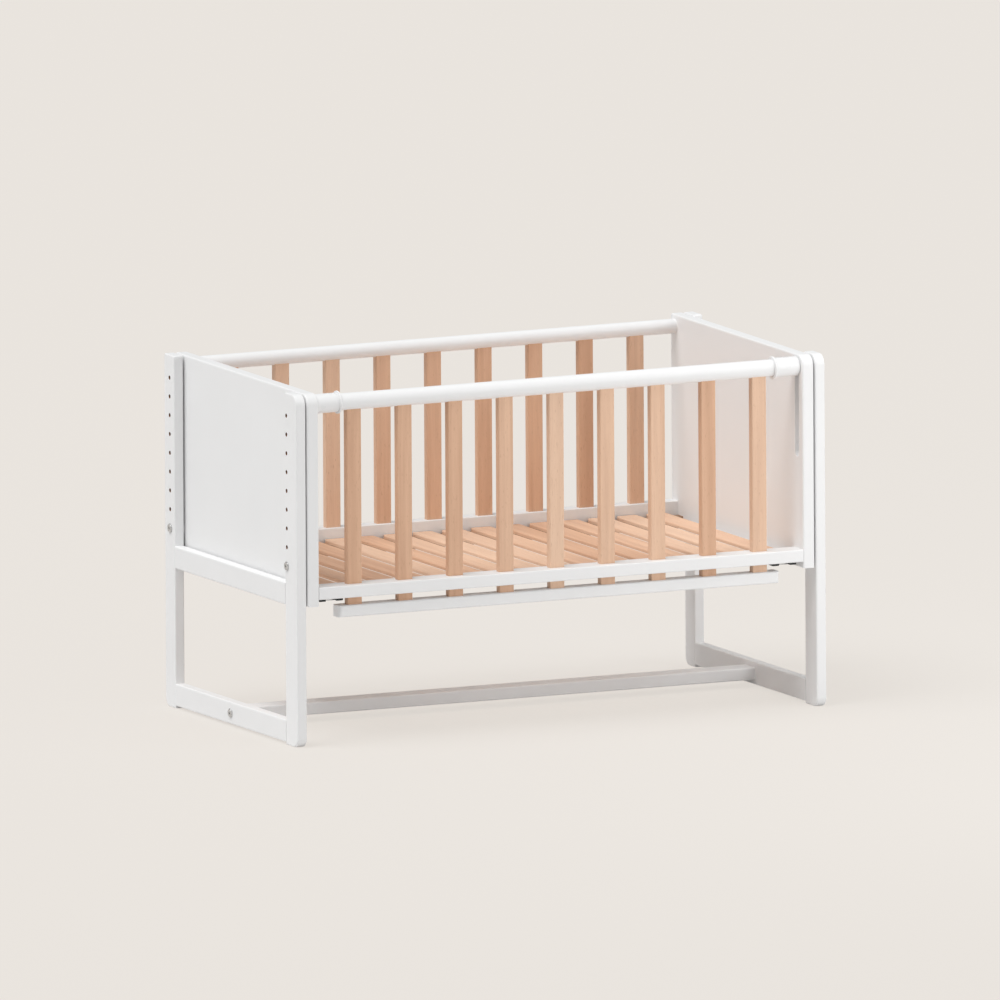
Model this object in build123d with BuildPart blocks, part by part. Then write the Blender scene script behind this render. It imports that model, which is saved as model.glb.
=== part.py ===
from build123d import *
import os

os.makedirs("parts", exist_ok=True)

# Bedside crib, in millimetres. X runs along the crib, Y from the drop side at the front to the
# fixed side at the rear, and Z up. The origin is on the floor under the middle of the crib.

# Whole crib
mattress_length = 900.0
crib_depth = 520.0
crib_height = 600.0

# Leg frames
leg_thickness = 18.0
front_post_width = 46.0
rear_post_width = 38.0
post_top_radius = 18.0
post_foot_radius = 15.0
post_corner_radius = 3.2
mid_rail_height = 38.0
mid_rail_drop = 67.0
foot_rail_height = 38.0
foot_rail_lift = 4.0
leg_edge_radius = 2.5
leg_tenon_thickness = 8.0
leg_tenon_shoulder = 6.0
leg_tenon_depth = 20.0

# Rows of holes that set the height of the box
setting_count = 9
setting_pitch = 32.0
setting_hole_diameter = 7.0
setting_top_margin = 39.0
front_hole_setback = 7.7
rear_hole_setback = 16.5

# Stretcher between the foot rails
stretcher_width = 40.0
stretcher_height = 21.0
stretcher_edge_radius = 2.5

# End boards of the box
board_thickness = 21.0
board_edge_radius = 3.0
board_corner_radius = 3.8
spacer_thickness = 3.0
spacer_diameter = 20.0

# Sides of the box
top_rail_margin = 20.0
slat_count = 9
slat_end_space = 73.4
slat_width = 27.0
slat_thickness = 13.5
slat_edge_radius = 2.0
tenon_depth = 12.0
rail_tenon_depth = 10.0
rail_tenon_shoulder = 4.0
rear_top_rail_diameter = 25.0
rear_top_rail_spigot = 16.0
rear_side_setback = 15.0
rear_rail_depth = 26.0
rear_rail_height = 44.0
rear_rail_lift = 2.0
front_rail_depth = 40.0
front_rail_height = 21.0
front_rail_lift = 11.0
rail_edge_radius = 2.0

# Slatted base
base_slat_count = 16
base_slat_end_space = 23.5
base_slat_width = 38.5
base_slat_thickness = 6.0
base_slat_end_radius = 7.0
base_slat_edge_radius = 2.4
base_slat_tip_gap = 1.5
base_recess = 10.0
ledge_depth = 20.0
front_ledge_height = 11.0
rear_ledge_height = 20.0
ledge_edge_radius = 1.0

# Drop side
drop_side_setback = 22.5
drop_travel = 147.0
drop_rail_diameter = 29.0
drop_bar_end_space = 40.6
drop_bar_depth = 28.0
drop_bar_height = 20.0
drop_bar_gap = 14.0
drop_bar_end_radius = 6.0
drop_bar_edge_radius = 3.0

# Locks at the ends of the drop side's top rail
sleeve_length = 46.7
sleeve_wall = 1.7
sleeve_end_wall = 4.0
sleeve_end_chamfer = 1.5
sleeve_flange_diameter = 39.0
sleeve_flange_thickness = 3.5
sleeve_flange_chamfer = 0.8
sleeve_travel = 10.0
guide_pin_diameter = 14.0
guide_pin_stem_diameter = 8.0
guide_pin_head_diameter = 12.0
guide_pin_head_thickness = 3.0
guide_pin_chamfer = 0.8
groove_depth = 10.0
spring_diameter = 15.0
spring_wire_diameter = 1.6
spring_length = 22.0
spring_bore_diameter = 18.0

# Belt loops under the front lower rail
belt_loop_width = 44.5
belt_loop_depth = 16.0
belt_loop_height = 8.5
belt_loop_foot = 12.6
belt_loop_bridge = 1.6
belt_loop_inset = 28.6
belt_loop_corner_radius = 1.5

# Bolts and nuts
bolt_diameter = 6.0
bolt_head_diameter = 15.0
bolt_head_height = 2.5
bolt_head_chamfer = 0.8
hex_key_width = 4.0
hex_socket_depth = 1.8
insert_diameter = 10.0
insert_length = 13.0
barrel_nut_diameter = 10.0
barrel_nut_length = 14.0
barrel_nut_inset = 30.0

# Clearances
slide_clearance = 0.3
fit_clearance = 0.05
mortise_clearance = 0.1
slat_guide_clearance = 0.5
end_clearance = 0.3
hole_end_clearance = 1.0

# Places along X
board_inner_x = mattress_length / 2
board_outer_x = board_inner_x + board_thickness
leg_inner_x = board_outer_x + spacer_thickness
leg_outer_x = leg_inner_x + leg_thickness
leg_middle_x = leg_inner_x + leg_thickness / 2
sleeve_outer_x = board_inner_x - slide_clearance
sleeve_inner_x = sleeve_outer_x - sleeve_length
sleeve_seat_x = sleeve_outer_x - sleeve_end_wall
pin_head_x = sleeve_seat_x - guide_pin_head_thickness
drop_rail_end_x = pin_head_x - sleeve_travel - slide_clearance
spring_bore_x = pin_head_x - spring_length - sleeve_travel - end_clearance
belt_loop_x = board_inner_x - belt_loop_inset
slat_pitch = (mattress_length - 2 * slat_end_space) / (slat_count - 1)
base_slat_pitch = (mattress_length - 2 * base_slat_end_space - base_slat_width) / (base_slat_count - 1)
drop_bar_length = mattress_length - 2 * drop_bar_end_space

# Places along Y
front_y = -crib_depth / 2
rear_y = crib_depth / 2
front_post_inner_y = front_y + front_post_width
rear_post_inner_y = rear_y - rear_post_width
front_hole_y = front_post_inner_y - front_hole_setback
rear_hole_y = rear_post_inner_y + rear_hole_setback
frame_middle_y = (front_post_inner_y + rear_post_inner_y) / 2
frame_rail_length = rear_post_inner_y - front_post_inner_y
drop_y = front_y + drop_side_setback
rear_side_y = rear_y - rear_side_setback
front_rail_y = front_y + front_rail_depth / 2
front_rail_back_y = front_y + front_rail_depth
rear_rail_y = rear_y - rear_rail_depth / 2
rear_rail_front_y = rear_y - rear_rail_depth

# Heights, with the mid rail and the box at one distance below the lowest setting holes
top_setting_z = crib_height - setting_top_margin
bottom_setting_z = top_setting_z - (setting_count - 1) * setting_pitch
mid_rail_bottom = bottom_setting_z - mid_rail_drop
rail_axis_z = crib_height - top_rail_margin
front_rail_bottom = mid_rail_bottom + front_rail_lift
front_rail_top = front_rail_bottom + front_rail_height
rear_rail_bottom = mid_rail_bottom + rear_rail_lift
rear_rail_top = rear_rail_bottom + rear_rail_height
ledge_top = front_rail_top - base_recess
foot_rail_middle = foot_rail_lift + foot_rail_height / 2
mid_rail_middle = mid_rail_bottom + mid_rail_height / 2
drop_bar_top = front_rail_bottom - drop_bar_gap
drop_bar_bottom = drop_bar_top - drop_bar_height
drop_slat_bottom = drop_bar_top - tenon_depth
drop_slat_top = rail_axis_z - drop_rail_diameter / 2 + tenon_depth
rear_slat_bottom = rear_rail_top - tenon_depth
rear_slat_top = rail_axis_z - rear_top_rail_diameter / 2 + tenon_depth

# Fits
setting_hole_radius = setting_hole_diameter / 2
bolt_radius = bolt_diameter / 2
insert_hole_radius = insert_diameter / 2 + fit_clearance
groove_width = guide_pin_diameter + 2 * slide_clearance
sleeve_bore_radius = drop_rail_diameter / 2 + slide_clearance
sleeve_radius = sleeve_bore_radius + sleeve_wall
guide_pin_length = slide_clearance + groove_depth - end_clearance
bolt_spots = [(front_hole_y, bottom_setting_z), (rear_hole_y, bottom_setting_z)]
rail_tenons = [
    (
        front_rail_y,
        front_rail_bottom + front_rail_height / 2,
        front_rail_depth - 2 * rail_tenon_shoulder,
        front_rail_height - 2 * rail_tenon_shoulder,
    ),
    (
        rear_rail_y,
        rear_rail_bottom + rear_rail_height / 2,
        rear_rail_depth - 2 * rail_tenon_shoulder,
        rear_rail_height - 2 * rail_tenon_shoulder,
    ),
]
leg_rails = [(mid_rail_middle, mid_rail_height), (foot_rail_middle, foot_rail_height)]
sides = [("left", -1), ("right", 1)]

# Leg posts: a flat stile with a large radius at the foot, rounded over at the top in front
posts = [
    ("front_post", -1, front_post_width, post_top_radius, front_hole_y, front_post_inner_y),
    ("rear_post", 1, rear_post_width, post_corner_radius, rear_hole_y, rear_post_inner_y),
]
for side, hand in sides:
    leg_plane = Plane.YZ.offset(hand * leg_inner_x)
    for post_name, outward, width, top_radius, hole_y, inner_y in posts:
        outer = 0 if outward < 0 else -1
        inner = -1 if outward < 0 else 0
        with BuildPart() as post:
            with BuildSketch(leg_plane) as outline:
                with Locations((outward * (crib_depth - width) / 2, crib_height / 2)):
                    Rectangle(width, crib_height)
                fillet(outline.vertices().group_by(Axis.X)[inner].sort_by(Axis.Y)[-1], post_corner_radius)
                fillet(outline.vertices().group_by(Axis.X)[outer].sort_by(Axis.Y)[0], post_foot_radius)
                fillet(outline.vertices().group_by(Axis.X)[outer].sort_by(Axis.Y)[-1], top_radius)
            extrude(amount=hand * leg_thickness)
            fillet(post.faces().filter_by(Axis.X).edges(), leg_edge_radius)
            with BuildSketch(leg_plane):
                with Locations((hole_y, (top_setting_z + bottom_setting_z) / 2)):
                    with GridLocations(setting_pitch, setting_pitch, 1, setting_count):
                        Circle(setting_hole_radius)
            extrude(amount=hand * leg_thickness, mode=Mode.SUBTRACT)
            with BuildSketch(Plane.XZ.offset(-inner_y)):
                for middle, height in leg_rails:
                    with Locations((hand * leg_middle_x, middle)):
                        Rectangle(
                            leg_tenon_thickness + 2 * mortise_clearance,
                            height - 2 * leg_tenon_shoulder + 2 * mortise_clearance,
                        )
            extrude(amount=-outward * (leg_tenon_depth + end_clearance), mode=Mode.SUBTRACT)
        post.part.label = f"{side}_{post_name}"
        export_step(post.part, f"parts/{side}_{post_name}.step")

# Mid and foot rails of the leg frames, tenoned into the posts
for side, hand in sides:
    leg_plane = Plane.YZ.offset(hand * leg_inner_x)
    for rail_name, middle, height in [
        ("mid_rail", mid_rail_middle, mid_rail_height),
        ("foot_rail", foot_rail_middle, foot_rail_height),
    ]:
        with BuildPart() as rail:
            with BuildSketch(leg_plane):
                with Locations((frame_middle_y, middle)):
                    Rectangle(frame_rail_length, height)
            extrude(amount=hand * leg_thickness)
            fillet(rail.edges().filter_by(Axis.Y), leg_edge_radius)
            with BuildSketch(Plane.XZ.offset(-frame_middle_y)):
                with Locations((hand * leg_middle_x, middle)):
                    Rectangle(leg_tenon_thickness, height - 2 * leg_tenon_shoulder)
            extrude(amount=frame_rail_length / 2 + leg_tenon_depth, both=True)
            if rail_name == "foot_rail":
                with BuildSketch(leg_plane):
                    with Locations((frame_middle_y, middle)):
                        Circle(setting_hole_radius)
                extrude(amount=hand * leg_thickness, mode=Mode.SUBTRACT)
        rail.part.label = f"{side}_{rail_name}"
        export_step(rail.part, f"parts/{side}_{rail_name}.step")

# Stretcher: a flat bar between the foot rails, drilled for bolts and barrel nuts
with BuildPart() as stretcher:
    with BuildSketch(Plane.YZ.offset(-leg_inner_x)):
        with Locations((frame_middle_y, foot_rail_middle)):
            Rectangle(stretcher_width, stretcher_height)
    extrude(amount=2 * leg_inner_x)
    fillet(stretcher.edges().filter_by(Axis.X), stretcher_edge_radius)
    for side, hand in sides:
        with BuildSketch(Plane.YZ.offset(hand * leg_inner_x)):
            with Locations((frame_middle_y, foot_rail_middle)):
                Circle(setting_hole_radius)
        bolt_reach = barrel_nut_inset + barrel_nut_diameter / 2 + hole_end_clearance
        extrude(amount=-hand * bolt_reach, mode=Mode.SUBTRACT)
        with BuildSketch(Plane.XY.offset(foot_rail_middle - stretcher_height / 2)):
            with Locations((hand * (leg_inner_x - barrel_nut_inset), frame_middle_y)):
                Circle(barrel_nut_diameter / 2 + fit_clearance)
        extrude(amount=(stretcher_height + barrel_nut_length) / 2 + end_clearance, mode=Mode.SUBTRACT)
stretcher.part.label = "stretcher"
export_step(stretcher.part, "parts/stretcher.step")

# Barrel nuts in the stretcher, cross-drilled for its bolts
with BuildPart() as barrel_nuts:
    with BuildSketch(Plane.XY.offset(foot_rail_middle - barrel_nut_length / 2)):
        for side, hand in sides:
            with Locations((hand * (leg_inner_x - barrel_nut_inset), frame_middle_y)):
                Circle(barrel_nut_diameter / 2)
    extrude(amount=barrel_nut_length)
    with BuildSketch(Plane.YZ.offset(-leg_inner_x)):
        with Locations((frame_middle_y, foot_rail_middle)):
            Circle(bolt_radius + fit_clearance)
    extrude(amount=2 * leg_inner_x, mode=Mode.SUBTRACT)
barrel_nuts.part.label = "barrel_nuts"
export_step(barrel_nuts.part, "parts/barrel_nuts.step")

# Bolts with a flat round head and a hex socket: four for the box, two for the stretcher
box_bolt_length = leg_thickness + spacer_thickness + insert_length
stretcher_bolt_length = leg_thickness + barrel_nut_inset + barrel_nut_diameter / 2
for bolts_name, spots, length in [
    ("box_bolts", bolt_spots, box_bolt_length),
    ("stretcher_bolts", [(frame_middle_y, foot_rail_middle)], stretcher_bolt_length),
]:
    with BuildPart() as bolts:
        for side, hand in sides:
            with BuildSketch(Plane.YZ.offset(hand * leg_outer_x)):
                with Locations(*spots):
                    Circle(bolt_head_diameter / 2)
            extrude(amount=hand * bolt_head_height)
        for end in (0, -1):
            chamfer(bolts.faces().filter_by(Axis.X).group_by(Axis.X)[end].edges(), bolt_head_chamfer)
        for side, hand in sides:
            with BuildSketch(Plane.YZ.offset(hand * leg_outer_x)):
                with Locations(*spots):
                    Circle(bolt_radius)
            extrude(amount=-hand * length)
            with BuildSketch(Plane.YZ.offset(hand * (leg_outer_x + bolt_head_height))):
                with Locations(*spots):
                    RegularPolygon(hex_key_width / 2, 6, major_radius=False)
            extrude(amount=-hand * hex_socket_depth, mode=Mode.SUBTRACT)
    bolts.part.label = bolts_name
    export_step(bolts.part, f"parts/{bolts_name}.step")

# Spacer washers between the posts and the end boards
with BuildPart() as spacer_washers:
    for side, hand in sides:
        with BuildSketch(Plane.YZ.offset(hand * board_outer_x)):
            with Locations(*bolt_spots):
                Circle(spacer_diameter / 2)
                Circle(setting_hole_radius, mode=Mode.SUBTRACT)
        extrude(amount=hand * spacer_thickness)
spacer_washers.part.label = "spacer_washers"
export_step(spacer_washers.part, "parts/spacer_washers.step")

# Threaded insert nuts in the end boards
with BuildPart() as insert_nuts:
    for side, hand in sides:
        with BuildSketch(Plane.YZ.offset(hand * board_outer_x)):
            with Locations(*bolt_spots):
                Circle(insert_diameter / 2)
                Circle(bolt_radius + fit_clearance, mode=Mode.SUBTRACT)
        extrude(amount=-hand * insert_length)
insert_nuts.part.label = "insert_nuts"
export_step(insert_nuts.part, "parts/insert_nuts.step")

# End boards: rounded over at the top in front like the posts, with a groove for the drop side
board_height = crib_height - mid_rail_bottom
for side, hand in sides:
    inner_plane = Plane.YZ.offset(hand * board_inner_x)
    with BuildPart() as end_board:
        with BuildSketch(inner_plane) as outline:
            with Locations((0, mid_rail_bottom + board_height / 2)):
                Rectangle(crib_depth, board_height)
            fillet(outline.vertices().group_by(Axis.X)[-1].sort_by(Axis.Y)[-1], board_corner_radius)
            fillet(outline.vertices().group_by(Axis.X)[0].sort_by(Axis.Y)[-1], post_top_radius)
        extrude(amount=hand * board_thickness)
        fillet(end_board.faces().filter_by(Axis.X).edges(), board_edge_radius)
        with BuildSketch(inner_plane):
            with Locations((drop_y, rail_axis_z - drop_travel / 2)):
                SlotCenterToCenter(drop_travel, groove_width, rotation=90)
        extrude(amount=hand * groove_depth, mode=Mode.SUBTRACT)
        with BuildSketch(inner_plane):
            for tenon_y, tenon_z, tenon_width, tenon_height in rail_tenons:
                with Locations((tenon_y, tenon_z)):
                    Rectangle(tenon_width + 2 * mortise_clearance, tenon_height + 2 * mortise_clearance)
            with Locations((rear_side_y, rail_axis_z)):
                Circle(rear_top_rail_spigot / 2 + fit_clearance)
        extrude(amount=hand * (rail_tenon_depth + end_clearance), mode=Mode.SUBTRACT)
        with BuildSketch(Plane.YZ.offset(hand * board_outer_x)):
            with Locations(*bolt_spots):
                Circle(insert_hole_radius)
        extrude(amount=-hand * (insert_length + hole_end_clearance), mode=Mode.SUBTRACT)
    end_board.part.label = f"{side}_end_board"
    export_step(end_board.part, f"parts/{side}_end_board.step")

# Rear top rail: a round bar with blind mortises underneath and a spigot at each end
with BuildPart() as rear_top_rail:
    with BuildSketch(Plane.YZ.offset(-board_inner_x)):
        with Locations((rear_side_y, rail_axis_z)):
            Circle(rear_top_rail_diameter / 2)
    extrude(amount=mattress_length)
    with BuildSketch(Plane.XY.offset(rear_slat_top + end_clearance)):
        with Locations((0, rear_side_y)):
            with GridLocations(slat_pitch, slat_pitch, slat_count, 1):
                Rectangle(slat_width + 2 * mortise_clearance, slat_thickness + 2 * mortise_clearance)
    extrude(amount=-rear_top_rail_diameter, mode=Mode.SUBTRACT)
    for side, hand in sides:
        with BuildSketch(Plane.YZ.offset(hand * board_inner_x)):
            with Locations((rear_side_y, rail_axis_z)):
                Circle(rear_top_rail_spigot / 2)
        extrude(amount=hand * rail_tenon_depth)
rear_top_rail.part.label = "rear_top_rail"
export_step(rear_top_rail.part, "parts/rear_top_rail.step")

# Rear lower rail: a tall bar with blind mortises on top
with BuildPart() as rear_lower_rail:
    with BuildSketch(Plane.YZ.offset(-board_inner_x)):
        with Locations((rear_rail_y, rear_rail_bottom + rear_rail_height / 2)):
            Rectangle(rear_rail_depth, rear_rail_height)
    extrude(amount=mattress_length)
    fillet(rear_lower_rail.edges().filter_by(Axis.X), rail_edge_radius)
    with BuildSketch(Plane.YZ):
        with Locations((rear_rail_y, rear_rail_bottom + rear_rail_height / 2)):
            Rectangle(rear_rail_depth - 2 * rail_tenon_shoulder, rear_rail_height - 2 * rail_tenon_shoulder)
    extrude(amount=board_inner_x + rail_tenon_depth, both=True)
    with BuildSketch(Plane.XY.offset(rear_slat_bottom - end_clearance)):
        with Locations((0, rear_side_y)):
            with GridLocations(slat_pitch, slat_pitch, slat_count, 1):
                Rectangle(slat_width + 2 * mortise_clearance, slat_thickness + 2 * mortise_clearance)
    extrude(amount=rear_rail_height, mode=Mode.SUBTRACT)
rear_lower_rail.part.label = "rear_lower_rail"
export_step(rear_lower_rail.part, "parts/rear_lower_rail.step")

# Front lower rail: a flat bar with a through mortise for each slat of the drop side
with BuildPart() as front_lower_rail:
    with BuildSketch(Plane.YZ.offset(-board_inner_x)):
        with Locations((front_rail_y, front_rail_bottom + front_rail_height / 2)):
            Rectangle(front_rail_depth, front_rail_height)
    extrude(amount=mattress_length)
    fillet(front_lower_rail.edges().filter_by(Axis.X), rail_edge_radius)
    with BuildSketch(Plane.YZ):
        with Locations((front_rail_y, front_rail_bottom + front_rail_height / 2)):
            Rectangle(
                front_rail_depth - 2 * rail_tenon_shoulder,
                front_rail_height - 2 * rail_tenon_shoulder,
            )
    extrude(amount=board_inner_x + rail_tenon_depth, both=True)
    with BuildSketch(Plane.XY.offset(front_rail_bottom)):
        with Locations((0, drop_y)):
            with GridLocations(slat_pitch, slat_pitch, slat_count, 1):
                RectangleRounded(
                    slat_width + 2 * slat_guide_clearance,
                    slat_thickness + 2 * slat_guide_clearance,
                    slat_edge_radius + slat_guide_clearance,
                )
    extrude(amount=front_rail_height, mode=Mode.SUBTRACT)
front_lower_rail.part.label = "front_lower_rail"
export_step(front_lower_rail.part, "parts/front_lower_rail.step")

# Ledges on the inner faces of the lower rails, which carry the base
for ledge_name, ledge_y, ledge_height in [
    ("front_ledge", front_rail_back_y + ledge_depth / 2, front_ledge_height),
    ("rear_ledge", rear_rail_front_y - ledge_depth / 2, rear_ledge_height),
]:
    with BuildPart() as ledge:
        with BuildSketch(Plane.YZ.offset(-board_inner_x)):
            with Locations((ledge_y, ledge_top - ledge_height / 2)):
                Rectangle(ledge_depth, ledge_height)
        extrude(amount=mattress_length)
        fillet(ledge.edges().filter_by(Axis.X), ledge_edge_radius)
    ledge.part.label = ledge_name
    export_step(ledge.part, f"parts/{ledge_name}.step")

# Base slats: thin boards with rounded ends and edges that lie across the two ledges
base_front_y = front_rail_back_y + base_slat_tip_gap
base_rear_y = rear_rail_front_y - base_slat_tip_gap
with BuildPart() as base_slats:
    with BuildSketch(Plane.XZ.offset(-base_front_y)) as section:
        with Locations((0, ledge_top + base_slat_thickness / 2)):
            with GridLocations(base_slat_pitch, base_slat_pitch, base_slat_count, 1):
                Rectangle(base_slat_width, base_slat_thickness)
        fillet(section.vertices().group_by(Axis.Y)[-1], base_slat_edge_radius)
    extrude(amount=base_front_y - base_rear_y)
    with BuildSketch(Plane.XY.offset(ledge_top)):
        with Locations((0, (base_front_y + base_rear_y) / 2)):
            with GridLocations(base_slat_pitch, base_slat_pitch, base_slat_count, 1):
                RectangleRounded(base_slat_width, base_rear_y - base_front_y, base_slat_end_radius)
    extrude(amount=base_slat_thickness, mode=Mode.INTERSECT)
base_slats.part.label = "base_slats"
export_step(base_slats.part, "parts/base_slats.step")

# Upright slats of the fixed rear side and of the drop side
for slat_name, slat_y, slat_bottom, slat_top in [
    ("rear_slat", rear_side_y, rear_slat_bottom, rear_slat_top),
    ("drop_slat", drop_y, drop_slat_bottom, drop_slat_top),
]:
    for index in range(slat_count):
        slat_x = (index - (slat_count - 1) / 2) * slat_pitch
        with BuildPart() as slat:
            with BuildSketch(Plane.XY.offset(slat_bottom)):
                with Locations((slat_x, slat_y)):
                    RectangleRounded(slat_width, slat_thickness, slat_edge_radius)
            extrude(amount=slat_top - slat_bottom)
        slat.part.label = f"{slat_name}_{index + 1}"
        export_step(slat.part, f"parts/{slat_name}_{index + 1}.step")

# Top rail of the drop side: a round bar with mortises underneath and a spring bore at each end
with BuildPart() as drop_top_rail:
    with BuildSketch(Plane.YZ.offset(-drop_rail_end_x)):
        with Locations((drop_y, rail_axis_z)):
            Circle(drop_rail_diameter / 2)
    extrude(amount=2 * drop_rail_end_x)
    with BuildSketch(Plane.XY.offset(drop_slat_top + end_clearance)):
        with Locations((0, drop_y)):
            with GridLocations(slat_pitch, slat_pitch, slat_count, 1):
                Rectangle(slat_width + 2 * mortise_clearance, slat_thickness + 2 * mortise_clearance)
    extrude(amount=-drop_rail_diameter, mode=Mode.SUBTRACT)
    for side, hand in sides:
        with BuildSketch(Plane.YZ.offset(hand * spring_bore_x)):
            with Locations((drop_y, rail_axis_z)):
                Circle(spring_bore_diameter / 2)
        extrude(amount=hand * spring_length, mode=Mode.SUBTRACT)
drop_top_rail.part.label = "drop_top_rail"
export_step(drop_top_rail.part, "parts/drop_top_rail.step")

# Lower bar of the drop side: joins the slats below the front lower rail
with BuildPart() as drop_lower_bar:
    with BuildSketch(Plane.YZ.offset(-drop_bar_length / 2)):
        with Locations((drop_y, drop_bar_bottom + drop_bar_height / 2)):
            RectangleRounded(drop_bar_depth, drop_bar_height, drop_bar_edge_radius)
    extrude(amount=drop_bar_length)
    with BuildSketch(Plane.XY.offset(drop_bar_bottom)):
        with Locations((0, drop_y)):
            RectangleRounded(drop_bar_length, drop_bar_depth, drop_bar_end_radius)
    extrude(amount=drop_bar_height, mode=Mode.INTERSECT)
    with BuildSketch(Plane.XY.offset(drop_slat_bottom - end_clearance)):
        with Locations((0, drop_y)):
            with GridLocations(slat_pitch, slat_pitch, slat_count, 1):
                Rectangle(slat_width + 2 * mortise_clearance, slat_thickness + 2 * mortise_clearance)
    extrude(amount=drop_bar_height, mode=Mode.SUBTRACT)
drop_lower_bar.part.label = "drop_lower_bar"
export_step(drop_lower_bar.part, "parts/drop_lower_bar.step")

# Lock sleeves, guide pins and springs, each turned about the axis of the drop side's top rail
for side, hand in sides:
    lock_plane = Plane((0, drop_y, rail_axis_z), x_dir=(hand, 0, 0), z_dir=(0, 0, 1))
    lock_axis = Axis((0, drop_y, rail_axis_z), (hand, 0, 0))
    with BuildPart() as sleeve:
        with BuildSketch(lock_plane) as section:
            with BuildLine():
                Polyline(
                    (sleeve_inner_x, sleeve_bore_radius),
                    (sleeve_inner_x, sleeve_flange_diameter / 2),
                    (sleeve_inner_x + sleeve_flange_thickness, sleeve_flange_diameter / 2),
                    (sleeve_inner_x + sleeve_flange_thickness, sleeve_radius),
                    (sleeve_outer_x, sleeve_radius),
                    (sleeve_outer_x, guide_pin_stem_diameter / 2 + fit_clearance),
                    (sleeve_seat_x, guide_pin_stem_diameter / 2 + fit_clearance),
                    (sleeve_seat_x, sleeve_bore_radius),
                    close=True,
                )
            make_face()
            chamfer(section.vertices().group_by(Axis.Y)[-1], sleeve_flange_chamfer)
            rim = section.vertices().group_by(Axis.X)[-1].sort_by(Axis.Y)[-1]
            chamfer(rim, sleeve_end_chamfer)
        revolve(axis=lock_axis)
    sleeve.part.label = f"{side}_lock_sleeve"
    export_step(sleeve.part, f"parts/{side}_lock_sleeve.step")

    with BuildPart() as guide_pin:
        with BuildSketch(lock_plane) as section:
            with BuildLine():
                Polyline(
                    (pin_head_x, 0),
                    (pin_head_x, guide_pin_head_diameter / 2),
                    (sleeve_seat_x, guide_pin_head_diameter / 2),
                    (sleeve_seat_x, guide_pin_stem_diameter / 2),
                    (sleeve_outer_x, guide_pin_stem_diameter / 2),
                    (sleeve_outer_x, guide_pin_diameter / 2),
                    (sleeve_outer_x + guide_pin_length, guide_pin_diameter / 2),
                    (sleeve_outer_x + guide_pin_length, 0),
                    close=True,
                )
            make_face()
            tip = section.vertices().group_by(Axis.X)[-1].sort_by(Axis.Y)[-1]
            chamfer(tip, guide_pin_chamfer)
        revolve(axis=lock_axis)
    guide_pin.part.label = f"{side}_guide_pin"
    export_step(guide_pin.part, f"parts/{side}_guide_pin.step")

    with BuildPart() as spring:
        with BuildSketch(lock_plane):
            with Locations((pin_head_x - spring_length / 2, (spring_diameter - spring_wire_diameter) / 2)):
                Rectangle(spring_length, spring_wire_diameter)
        revolve(axis=lock_axis)
    spring.part.label = f"{side}_lock_spring"
    export_step(spring.part, f"parts/{side}_lock_spring.step")

# Belt loops: a low bridge on two feet, fixed under the front lower rail
for side, hand in sides:
    with BuildPart() as belt_loop:
        with BuildSketch(Plane.XZ.offset(-drop_y - belt_loop_depth / 2)) as outline:
            with Locations((hand * belt_loop_x, front_rail_bottom - belt_loop_height / 2)):
                Rectangle(belt_loop_width, belt_loop_height)
            fillet(outline.vertices().group_by(Axis.Y)[0], belt_loop_corner_radius)
            with Locations((hand * belt_loop_x, front_rail_bottom)):
                Rectangle(
                    belt_loop_width - 2 * belt_loop_foot,
                    2 * (belt_loop_height - belt_loop_bridge),
                    mode=Mode.SUBTRACT,
                )
        extrude(amount=belt_loop_depth)
    belt_loop.part.label = f"{side}_belt_loop"
    export_step(belt_loop.part, f"parts/{side}_belt_loop.step")
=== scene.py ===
"""Dresses the bedside crib: its finishes, its finest pieces, a plain studio and the camera."""
import logging
import math
from dataclasses import dataclass
from enum import Enum
from typing import Any, Optional, Union

import bmesh
import bpy
import numpy as np
from mathutils import Matrix, Vector


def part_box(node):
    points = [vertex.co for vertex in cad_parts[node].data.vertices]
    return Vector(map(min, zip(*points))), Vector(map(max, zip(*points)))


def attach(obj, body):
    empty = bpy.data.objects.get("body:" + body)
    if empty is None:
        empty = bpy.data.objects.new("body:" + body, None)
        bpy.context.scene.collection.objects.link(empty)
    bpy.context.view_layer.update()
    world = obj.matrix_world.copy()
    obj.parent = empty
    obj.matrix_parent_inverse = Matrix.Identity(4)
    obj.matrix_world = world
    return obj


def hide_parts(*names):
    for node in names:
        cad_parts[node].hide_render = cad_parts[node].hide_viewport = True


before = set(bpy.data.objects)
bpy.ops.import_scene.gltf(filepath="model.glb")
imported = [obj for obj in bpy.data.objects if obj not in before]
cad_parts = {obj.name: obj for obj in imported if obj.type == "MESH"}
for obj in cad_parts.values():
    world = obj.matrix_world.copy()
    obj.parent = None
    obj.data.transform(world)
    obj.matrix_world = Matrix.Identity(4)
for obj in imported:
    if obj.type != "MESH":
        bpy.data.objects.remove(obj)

LOG = logging.getLogger("crib")
SIDES = ("left", "right")
SLAT_COUNT = 9
MM = 0.001

Socket = bpy.types.NodeSocket
Value = Union[float, tuple, Socket]


class Grain(Enum):
    """The way the wood's fibres run in a piece, as the axis of the crib they follow."""

    ALONG_X = (0.035, 1.0, 1.0)
    ALONG_Y = (1.0, 0.035, 1.0)
    ALONG_Z = (1.0, 1.0, 0.035)


class Slats(Enum):
    """How slats are set out: their pitch in metres, and their shift from the crib's middle in pitches."""

    UPRIGHT = (0.09415, 0.0)
    BASE = (0.0543, 0.5)
    NONE = (100.0, 0.0)


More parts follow.
